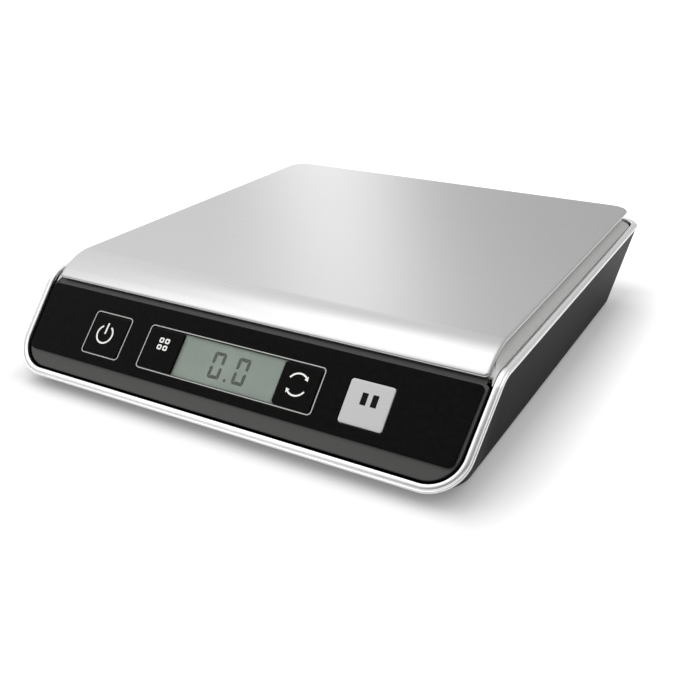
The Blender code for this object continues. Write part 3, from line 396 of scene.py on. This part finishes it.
def make_looks():
    looks = {
        "brushed_steel": surface("steel", (0.46, 0.46, 0.46), 0.28, 1.0, grain=30.0,
                                 spread=0.010, vary=0.02, bump=0.012, stretch=(1.0, 60.0, 60.0)),
        "silver_paint": surface("silver_paint", (0.37, 0.37, 0.36), 0.50, 0.3, grain=4000.0,
                                spread=0.05, bump=0.04),
        "bright_chrome": surface("chrome", (0.74, 0.74, 0.74), 0.30, 1.0, grain=300.0,
                                 spread=0.02, vary=0.03),
        "black_plastic": surface("black_plastic", (0.0022, 0.0022, 0.0020), 0.42, grain=2600.0,
                                 spread=0.25, vary=0.06, bump=0.35, Specular_IOR_Level=0.02),
        "dark_grey_plastic": surface("dark_grey_plastic", (0.018, 0.018, 0.017), 0.42,
                                     grain=2600.0, spread=0.2, vary=0.06, bump=0.3),
        "gloss_black": surface("gloss_black", (0.0022, 0.0020, 0.0019), 0.14, grain=500.0,
                               spread=0.3, vary=0.03, Specular_IOR_Level=0.03),
        "silver_key": surface("silver_key", (0.33, 0.33, 0.33), 0.36, 0.5, grain=4000.0,
                              spread=0.04, bump=0.03),
        "clear_acrylic": surface("clear_acrylic", (0.9, 0.92, 0.9), 0.06, grain=200.0,
                                 spread=0.02, vary=0.02, Alpha=0.03),
        "lcd_glass": surface("lcd_glass", (0.080, 0.107, 0.084), 0.45, grain=70.0, spread=0.12,
                             vary=0.05),
        "white_plastic": surface("white_plastic", (0.70, 0.70, 0.68), 0.5, bump=0.1),
        "grey_rubber": surface("rubber", (0.05, 0.05, 0.05), 0.85, spread=0.2, bump=0.5),
        "green_board": surface("green_board", (0.015, 0.12, 0.045), 0.35, grain=600.0,
                               spread=0.35, bump=0.1),
        "aluminium": surface("aluminium", (0.70, 0.71, 0.72), 0.32, 1.0, grain=60.0,
                             spread=0.05, vary=0.06, bump=0.08, stretch=(1.0, 40.0, 40.0)),
        "zinc_steel": surface("zinc", (0.60, 0.60, 0.58), 0.3, 1.0, grain=900.0, spread=0.06,
                              vary=0.06),
        "battery_label": surface("battery_sleeve", (0.04, 0.08, 0.22), 0.3, grain=90.0,
                                 spread=0.3),
        "red_wire": surface("red_insulation", (0.45, 0.02, 0.02), 0.5, bump=0.05),
        "black_wire": surface("black_insulation", (0.015, 0.015, 0.015), 0.5, bump=0.05),
        "grey_cable": surface("grey_sheath", (0.25, 0.25, 0.25), 0.6, bump=0.05),
    }
    looks["pale_ink"] = surface("pale_ink", (0.50, 0.50, 0.48), 0.5, spread=0.05)
    looks["line_ink"] = surface("line_ink", (0.24, 0.24, 0.235), 0.4, spread=0.08)
    looks["dark_ink"] = surface("dark_ink", (0.004, 0.004, 0.004), 0.5, spread=0.1,
                                Specular_IOR_Level=0.04)
    looks["lcd_ink"] = surface("lcd_ink", (0.004, 0.008, 0.005), 0.5, spread=0.1,
                               Specular_IOR_Level=0.05)
    return looks


def crisp_edges(item):
    """Split the edges that are sharper than CRISP_ANGLE, so flat faces shade flat."""
    crisp = item.modifiers.new("crisp_edges", "EDGE_SPLIT")
    crisp.split_angle = CRISP_ANGLE


def dress_frame(looks):
    """Give every CAD node the finish of its slot."""
    slots = {part["node"]: part["material_slot"] for part in frame["record"]["subparts"]}
    for name, item in NODES.items():
        look = looks[slots[name]]
        if item.material_slots:
            for holder in item.material_slots:
                holder.material = look
        else:
            item.data.materials.append(look)
        item.data.shade_smooth()
        weld = item.modifiers.new("weld", "WELD")
        weld.merge_threshold = 0.000004
        crisp_edges(item)
        even = item.modifiers.new("even_normals", "WEIGHTED_NORMAL")
        even.keep_sharp = True


def bending_bar(looks):
    """The load cell's bar, between its bolted end and the end under the platform."""
    bar = link(bpy.data.objects.new("bending_bar", NODES["load_cell"].data.copy()))
    bar.data.materials.clear()
    bar.data.materials.append(looks["aluminium"])
    crisp_edges(bar)
    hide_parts("load_cell")
    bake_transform(bar)


# ---------------------------------------------------------------- outer pieces

def platform_skin(looks):
    """The steel sheet with a rounded edge, a short flange and a bend at the front."""
    _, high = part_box("platform_cover")
    half_width = high.x / MM
    fold = Fold(PLATFORM_BEND_Y, high.z / MM, PLATFORM_BEND_RADIUS,
                math.radians(PLATFORM_BEND_ANGLE))
    bend = fold.radius * fold.angle
    front = bend + PLATFORM_LIP
    back = fold.bend_y - high.y / MM
    half = half_outline(back, front, ((half_width, back, PLATFORM_BACK_CORNER, 14),
                                      (half_width, bend / 2 - 0.6, bend / 2 - 2.8, 28),
                                      (half_width, front, PLATFORM_FRONT_CORNER, 8)))
    section = [(-1.6, 0.0), *rounded(0.0, 0.0, PLATFORM_EDGE, 6),
               (0.0, 0.12 - PLATFORM_FLANGE), (-0.12, -PLATFORM_FLANGE),
               (-0.7, -PLATFORM_FLANGE), (-0.8, 0.1 - PLATFORM_FLANGE), (-1.1, -0.8)]
    skin = loft("platform_skin", [folded_loop(half, fold, o, h) for o, h in section])
    return finish_piece(skin, looks["brushed_steel"], "platform",
                        ("platform_cover",))


def rim_bead(looks):
    """The bright bead: a crowned band, a fine groove and a thin outer lip."""
    _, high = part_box("trim_rim")
    fold = panel_fold(high.z / MM, RIM_DEPTH, RIM_BEND_RADIUS)
    half_width = high.x / MM
    middle = fold.radius * fold.angle / 2
    front = slope_distance(fold, RIM_BOTTOM_S)
    back = fold.bend_y - high.y / MM
    front_half = half_width - RIM_TAPER * (front - middle)
    half = half_outline(back, front, ((half_width, back, RIM_BACK_CORNER, 18),
                                      (half_width, middle, 8.0, 20),
                                      (front_half, front, RIM_FRONT_CORNER, 26)))
    section = ((-RIM_WIDTH, -RIM_HEIGHT), (-RIM_WIDTH, -0.6), (-3.22, -0.3), (-3.05, -0.1),
               (-2.8, 0.0), (-2.2, 0.0), (-1.5, 0.0), (-1.28, -0.08), (-1.12, -0.24),
               (-1.02, -0.4), (-0.92, -0.44), (-0.8, -0.4), (-0.7, -0.32), (-0.5, -0.3),
               (-0.3, -0.38), (-0.12, -0.58), (-0.02, -0.9), (0.0, -1.2),
               (-0.15, -RIM_HEIGHT))
    bead = loft("rim_bead", [folded_loop(half, fold, o, h) for o, h in section], ring=True)
    return finish_piece(bead, looks["bright_chrome"], "base", ("trim_rim",),
                        55.0)


def curb_top(y):
    """Height of the ledge's inner edge: as near under the platform as its travel allows."""
    forward = max(PLATFORM_BEND_Y - y, 0.0) / PLATFORM_BEND_RADIUS
    level = math.sqrt(max(1.0 - forward * forward, 0.2))
    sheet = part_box("platform_cover")[1].z / MM - PLATFORM_BEND_RADIUS * (1.0 - level)
    return sheet - PLATFORM_FLANGE / level - PLATFORM_DROP


def raised_loop(loop, lower):
    """A loop lifted to the inner edge's height, less lower, wherever that is above it."""
    return [(x, y, max(z, curb_top(y) - lower)) for x, y, z in loop]


def ledge_skin(looks):
    """The silver ledge that slopes from the platform down to the rim, with its skirt."""
    _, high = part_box("silver_frame")
    _, rim_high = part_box("trim_rim")
    fold = panel_fold(LEDGE_Z, LEDGE_DEPTH, LEDGE_BEND_RADIUS)
    middle = fold.radius * fold.angle / 2
    back = fold.bend_y - high.y / MM
    front = slope_distance(fold, LEDGE_FRONT_S)
    half_width = high.x / MM
    rim_fold = panel_fold(rim_high.z / MM, RIM_DEPTH, RIM_BEND_RADIUS)
    forward = slope_distance(rim_fold, LEDGE_FRONT_S) - rim_fold.radius * rim_fold.angle / 2
    front_half = half_width - RIM_TAPER * max(forward, 0.0)
    outer = half_outline(back, front, ((half_width, back, LEDGE_BACK_CORNER, 12),
                                       (half_width, middle, 5.0, 14),
                                       (front_half, front, 0.6, 4)))
    opening_back = fold.bend_y - LEDGE_OPENING_BACK_Y
    opening_front = slope_distance(fold, LEDGE_OPENING_FRONT_S)
    inner = half_outline(opening_back, opening_front,
                         ((LEDGE_OPENING_HALF, opening_back, LEDGE_BACK_CORNER, 12),
                          (LEDGE_OPENING_HALF, opening_front - 6.0, 2.0, 14),
                          (LEDGE_OPENING_HALF, opening_front, 3.0, 4)))
    skin = loft("ledge_skin", [
        raised_loop(folded_loop(inner, fold, 0.9, 0.0), 0.2),
        raised_loop(folded_loop(inner, fold, 1.1, 0.0), 0.4),
        folded_loop(outer, fold, -0.5, 0.03),
        folded_loop(outer, fold, -0.35, -0.02),
        folded_loop(outer, fold, -0.12, -0.12),
        folded_loop(outer, fold, 0.0, -0.4),
        folded_loop(outer, fold, 0.0, -LEDGE_LIP),
        folded_loop(inner, fold, 1.6, -LEDGE_LIP),
        folded_loop(inner, fold, 1.6, -LEDGE_SKIRT),
        folded_loop(inner, fold, 0.0, -LEDGE_SKIRT),
        raised_loop(folded_loop(inner, fold, 0.0, 0.0), 0.3),
        raised_loop(folded_loop(inner, fold, 0.3, 0.0), 0.0),
        raised_loop(folded_loop(inner, fold, 0.7, 0.0), 0.0),
    ], ring=True)
    return finish_piece(skin, looks["silver_paint"], "base", ("silver_frame",))


def fascia_plate(looks):
    """The dark grey plate, with rounded edges and openings behind the keys and the display."""
    outlines = [trapezoid(FASCIA_HALF_TOP, FASCIA_HALF_BOTTOM, FASCIA_TOP_S, FASCIA_BOTTOM_S,
                          FASCIA_TOP_CORNER, FASCIA_BOTTOM_CORNER, 12)]
    for left, right in KEYS.values():
        centre = (left + right) / 2
        outlines.append(rounded_box(centre - STEM_HOLE_HALF, centre + STEM_HOLE_HALF,
                                    KEY_MIDDLE_S - STEM_HOLE_HALF, KEY_MIDDLE_S + STEM_HOLE_HALF,
                                    0.8, 3))
    outlines.append(rounded_box(-25.0, 25.0, KEY_TOP_S - 1.3, KEY_BOTTOM_S + 1.3, 0.8, 3))
    plate = panel_sheet("fascia_plate", outlines, -FASCIA_DEPTH - FASCIA_SHEET, -FASCIA_DEPTH,
                        0.35, 3)
    finish_piece(plate, looks["dark_grey_plastic"], "base",
                 ("front_fascia",))
    # A dark grey tongue under the platform's lip: its dark tone is painted shade, standing in for
    # the shade that the lip casts on this strip.
    outline = rounded_box(-TONGUE_HALF, TONGUE_HALF, TONGUE_TOP_S, FASCIA_TOP_S + 1.0, 0.4, 3)
    tongue = panel_sheet("fascia_tongue", [outline], -TONGUE_DEPTH - TONGUE_SHEET, -TONGUE_DEPTH,
                         0.1)
    finish_piece(tongue, looks["dark_grey_plastic"], "base")


def overlay_plate(looks):
    """The glossy overlay, open for the two outer keys and for the display group."""
    outlines = [trapezoid(OVERLAY_HALF_TOP, OVERLAY_HALF_BOTTOM, OVERLAY_TOP_S,
                          OVERLAY_BOTTOM_S, OVERLAY_TOP_CORNER, OVERLAY_BOTTOM_CORNER)]
    for left, right in (KEYS["power_key"], KEYS["hold_key"],
                        (KEYS["tare_key"][0], KEYS["units_key"][1])):
        outlines.append(rounded_box(left, right, KEY_TOP_S, KEY_BOTTOM_S, 1.3))
    plate = panel_sheet("overlay_plate", outlines, -OVERLAY_SHEET, 0.0, 0.2, 3)
    finish_piece(plate, looks["gloss_black"], "base", ("panel_overlay",))


def printed_borders(looks):
    """The thin lines printed round the power key and round the display group."""
    for name, left, right in (("power", *KEYS["power_key"]),
                              ("display", KEYS["tare_key"][0], KEYS["units_key"][1])):
        outer, inner = [
            rounded_box(left - grow, right + grow, KEY_TOP_S - grow, KEY_BOTTOM_S + grow, corner)
            for grow, corner in ((BORDER_GAP + BORDER_LINE, 1.8), (BORDER_GAP, 1.4))]
        border = panel_sheet(f"{name}_border", [outer, inner], -2 * INK_SINK, INK_THICKNESS)
        finish_piece(border, looks["line_ink"], "base")


def keycap(name, look, looks):
    """A keycap with softened edges and the stem that reaches down to its switch."""
    left, right = KEYS[name]
    half_width = (right - left) / 2 - KEY_GAP
    reach = (KEY_BOTTOM_S - KEY_TOP_S) / 2 - KEY_GAP
    cap, stem = [
        half_outline(KEY_MIDDLE_S - tall, KEY_MIDDLE_S + tall,
                     ((wide, KEY_MIDDLE_S - tall, corner, 6),
                      (wide, KEY_MIDDLE_S + tall, corner, 6)))
        for wide, tall, corner in ((half_width, reach, KEY_CORNER),
                                   (STEM_HALF, STEM_HALF, 0.4))]
    centre = (left + right) / 2
    top = KEY_PROUD
    loops = [panel_loop(cap, -1.0, top, centre)]
    loops += [panel_loop(cap, o, top + h, centre) for o, h in rounded(0.0, 0.0, 0.22, 4)]
    loops.append(panel_loop(cap, 0.0, top - KEY_CAP, centre))
    loops.append(panel_loop(stem, 0.0, top - KEY_CAP, centre))
    loops.append(panel_loop(stem, 0.0, -STEM_END_DEPTH, centre))
    item = loft(f"{name}_cap", loops)
    return finish_piece(item, look, name, (name,))


def symbol(name, outlines, height, look, body):
    """A printed symbol as a very thin raised shape."""
    shape = panel_sheet(name, outlines, height - INK_SINK, height + INK_THICKNESS)
    return finish_piece(shape, look, body)


def power_symbol(looks):
    """An open ring with a bar in its gap."""
    x, s = -63.2, 30.9
    ring = arc_band((x, s), 3.95, 0.75, 32.0, 328.0, 36)
    symbol("power_symbol", [ring], KEY_PROUD, looks["pale_ink"], "power_key")
    bar = rounded_box(x - 0.4, x + 0.4, s - 5.1, s - 0.1, 0.3, 3)
    symbol("power_symbol_bar", [bar], KEY_PROUD, looks["pale_ink"], "power_key")


def tare_symbol(looks):
    """Four small rounded squares with open middles."""
    places = [(x, s) for x in (-34.1, -31.2) for s in (27.1, 30.1)]
    squares = [rounded_box(x - half, x + half, s - half, s + half, corner, 3)
               for half, corner in ((1.1, 0.6), (0.5, 0.3)) for x, s in places]
    symbol("tare_symbol", squares, KEY_PROUD, looks["pale_ink"], "tare_key")


def units_symbol(looks):
    """Two turning arrows, each an arc and a pointed head."""
    centre, radius, head = (32.3, 30.4), 4.4, 1.0
    neck, tip = 42.0, 62.0

    def polar(distance, degrees):
        turn = math.radians(degrees)
        return (centre[0] + distance * math.sin(turn), centre[1] - distance * math.cos(turn))

    arrows = []
    for turn in (0.0, 180.0):
        arrows.append(arc_band(centre, radius, 0.7, turn - tip, turn + neck, 20))
        arrows.append([polar(radius, turn + tip), polar(radius + head, turn + neck),
                       polar(radius - head, turn + neck)])
    for number, outline in enumerate(arrows, 1):
        symbol(f"units_symbol_{number}", [outline], KEY_PROUD, looks["pale_ink"], "units_key")


def hold_symbol(looks):
    """Two upright bars."""
    bars = [rounded_box(left, left + 2.4, 26.8, 31.5, 0.2, 2) for left in (59.1, 63.4)]
    symbol("hold_symbol", bars, KEY_PROUD, looks["dark_ink"], "hold_key")


def display(looks):
    """The window, and the dark segments that show 0.0 behind it."""
    outline = rounded_box(-WINDOW_HALF, WINDOW_HALF, KEY_TOP_S + KEY_GAP, KEY_BOTTOM_S - KEY_GAP,
                          0.4, 3)
    pane = panel_sheet("window_pane", [outline], -OVERLAY_SHEET, 0.0, 0.1)
    finish_piece(pane, looks["clear_acrylic"], "base", ("lcd_window",))
    segments = []
    for left, right in DIGITS:
        segments += zero_segments(left, right, DIGIT_TOP_S, DIGIT_BOTTOM_S, DIGIT_STROKE)
    segments.append(rounded_box(-0.2, 1.0, DIGIT_BOTTOM_S - 1.1, DIGIT_BOTTOM_S + 0.1, 0.3, 3))
    symbol("display_digits", segments, LCD_TOP, looks["lcd_ink"], "base")


def zero_segments(left, right, top, bottom, stroke):
    """The six lit strokes of a seven segment zero, as (x, s) outlines that don't touch."""
    gap = 0.08
    middle = (top + bottom) / 2
    strokes = []
    for s, side in ((top, 1.0), (bottom, -1.0)):
        strokes.append([(left + 0.7, s), (right - 0.7, s), (right - 0.4, s + side * 0.3),
                        (right - gap - stroke, s + side * stroke),
                        (left + gap + stroke, s + side * stroke), (left + 0.4, s + side * 0.3)])
    for x, side in ((left, 1.0), (right, -1.0)):
        for s, down in ((top, 1.0), (bottom, -1.0)):
            strokes.append([(x, s + down * 0.7), (x + side * 0.3, s + down * (0.3 + gap)),
                            (x + side * stroke, s + down * (gap + stroke)),
                            (x + side * stroke, middle - down * 1.2),
                            (x + side * stroke / 2, middle - down * 0.5),
                            (x, middle - down * 0.9)])
    return strokes


# ---------------------------------------------------------------- stage, light and camera

def painted_floor_glow(material):
    """Make the floor glow more with distance from the scale: painted light that keeps it white
    beyond the soft shadow close round the scale, and painted shade that widens that shadow.
    """
    nodes = material.node_tree.nodes
    links = material.node_tree.links
    value = nodes.new("ShaderNodeTexCoord").outputs["Object"]
    half_size = (0.105, 0.113, 1.0)
    for operation, second in (("ABSOLUTE", None), ("SUBTRACT", half_size),
                              ("MAXIMUM", (0.0, 0.0, 0.0)), ("LENGTH", None)):
        step = nodes.new("ShaderNodeVectorMath")
        step.operation = operation
        links.new(value, step.inputs[0])
        if second:
            step.inputs[1].default_value = second
        value = step.outputs["Value" if operation == "LENGTH" else "Vector"]
    # Painted light and shade on the floor: the glow rises from dim at the scale's footprint to full
    # strength 42 mm away.
    glow = nodes.new("ShaderNodeMapRange")
    glow.inputs["From Min"].default_value = 0.0
    glow.inputs["From Max"].default_value = 0.042
    glow.inputs["To Min"].default_value = 0.16
    glow.inputs["To Max"].default_value = 0.62
    shader = nodes["Principled BSDF"]
    shader.inputs["Emission Color"].default_value = (1.0, 1.0, 1.0, 1.0)
    links.new(value, glow.inputs["Value"])
    links.new(glow.outputs["Result"], shader.inputs["Emission Strength"])


def floor():
    """A wide pale floor, with a painted glow that is dimmer close round the scale."""
    mesh = bpy.data.meshes.new("floor")
    size = 9.0
    mesh.from_pydata([(-size, -size, 0), (size, -size, 0), (size, size, 0), (-size, size, 0)],
                     [], [(0, 1, 2, 3)])
    plane = link(bpy.data.objects.new("floor", mesh))
    white = surface("floor_white", (0.43, 0.43, 0.435), 0.5, grain=20.0, spread=0.005,
                    Specular_IOR_Level=0.2)
    painted_floor_glow(white)
    plane.data.materials.append(white)


def room():
    """White surroundings, bright overhead, with a soft strip behind the scale."""
    world = bpy.data.worlds.new("studio")
    bpy.context.scene.world = world
    world.use_nodes = True
    nodes = world.node_tree.nodes
    links = world.node_tree.links
    sky = nodes["Background"]
    coords = nodes.new("ShaderNodeTexCoord")
    axes = nodes.new("ShaderNodeSeparateXYZ")
    links.new(coords.outputs["Generated"], axes.inputs["Vector"])

    def smooth(value, low, high, out_low, out_high):
        step = nodes.new("ShaderNodeMapRange")
        step.interpolation_type = "SMOOTHSTEP"
        step.inputs["From Min"].default_value = low
        step.inputs["From Max"].default_value = high
        step.inputs["To Min"].default_value = out_low
        step.inputs["To Max"].default_value = out_high
        links.new(value, step.inputs["Value"])
        return step.outputs["Result"]

    def calculate(operation, first, second):
        node = nodes.new("ShaderNodeMath")
        node.operation = operation
        for socket, value in zip(node.inputs, (first, second)):
            if isinstance(value, float):
                socket.default_value = value
            else:
                links.new(value, socket)
        return node.outputs["Value"]

    across, along, height = axes.outputs
    tilted = calculate("ADD", along, calculate("MULTIPLY", height, 0.5))
    level = smooth(tilted, -0.12, 0.10, 0.16, 0.94)
    zenith = calculate("MULTIPLY", smooth(height, 0.78, 0.95, 0.0, 1.0),
                       smooth(across, -0.65, -0.2, 3.6, 0.85))
    overhead = calculate("ADD", zenith, smooth(height, 0.28, 0.46, 0.0, 0.36))
    level = calculate("MULTIPLY", level, calculate("ADD", overhead, 1.0))
    # A tall soft strip behind the scale, with a dimmer room to the right of it
    sideways = calculate("ADD", calculate("MULTIPLY", across, 0.862),
                         calculate("MULTIPLY", along, 0.508))
    strip = smooth(calculate("ABSOLUTE", sideways, 0.0), 0.0, 0.13, 0.75, 0.0)
    strip = calculate("MULTIPLY", strip, smooth(along, 0.3, 0.6, 0.0, 1.0))
    strip = calculate("MULTIPLY", strip, smooth(height, 0.45, 0.7, 1.0, 0.0))
    dim = smooth(sideways, -0.25, 0.35, 1.04, 0.68)
    level = calculate("MULTIPLY", level, dim)
    level = calculate("ADD", level, strip)
    horizon = smooth(height, 0.04, 0.16, 1.0, 0.0)
    level = calculate("MAXIMUM", level, horizon)
    links.new(level, sky.inputs["Strength"])
    sky.inputs["Color"].default_value = (1.0, 1.0, 1.0, 1.0)


def lamps():
    """Broad lamps aimed at the scale; only the front one shows in reflections."""
    for name, place, size, power, shown in (
            ("key_light", (-0.9, 0.9, 1.5), 1.0, 9.0, False),
            ("top_light", (0.0, 0.15, 1.5), 1.2, 4.5, False),
            ("fill_light", (0.4, -1.1, 0.8), 1.4, 16.0, False),
            ("front_light", (-0.62, -0.66, 0.72), 0.75, 2.2, True)):
        lamp = bpy.data.lights.new(name, "AREA")
        lamp.size = size
        lamp.energy = power
        item = link(bpy.data.objects.new(name, lamp))
        item.location = place
        item.rotation_euler = (-Vector(place)).to_track_quat("-Z", "Y").to_euler()
        item.visible_glossy = shown


def camera():
    """A camera before the right front corner, looking down at the display and the platform."""
    forward = Vector(CAMERA_FORWARD).normalized()
    right = forward.cross(Vector(CAMERA_UP)).normalized()
    up = right.cross(forward)
    lens = bpy.data.cameras.new("camera")
    lens.lens = CAMERA_LENS
    lens.sensor_width = 36.0
    item = link(bpy.data.objects.new("camera", lens))
    turned = Matrix((right, up, -forward)).transposed().to_4x4()
    item.matrix_world = Matrix.Translation(CAMERA_PLACE) @ turned
    bpy.context.scene.camera = item
    bpy.context.scene.view_settings.view_transform = "Standard"


def main():
    looks = make_looks()
    dress_frame(looks)
    bending_bar(looks)
    platform_skin(looks)
    rim_bead(looks)
    ledge_skin(looks)
    fascia_plate(looks)
    overlay_plate(looks)
    printed_borders(looks)
    for name in ("power_key", "tare_key", "units_key"):
        keycap(name, looks["gloss_black"], looks)
    keycap("hold_key", looks["silver_key"], looks)
    power_symbol(looks)
    tare_symbol(looks)
    units_symbol(looks)
    hold_symbol(looks)
    display(looks)
    floor()
    room()
    lamps()
    camera()


main()
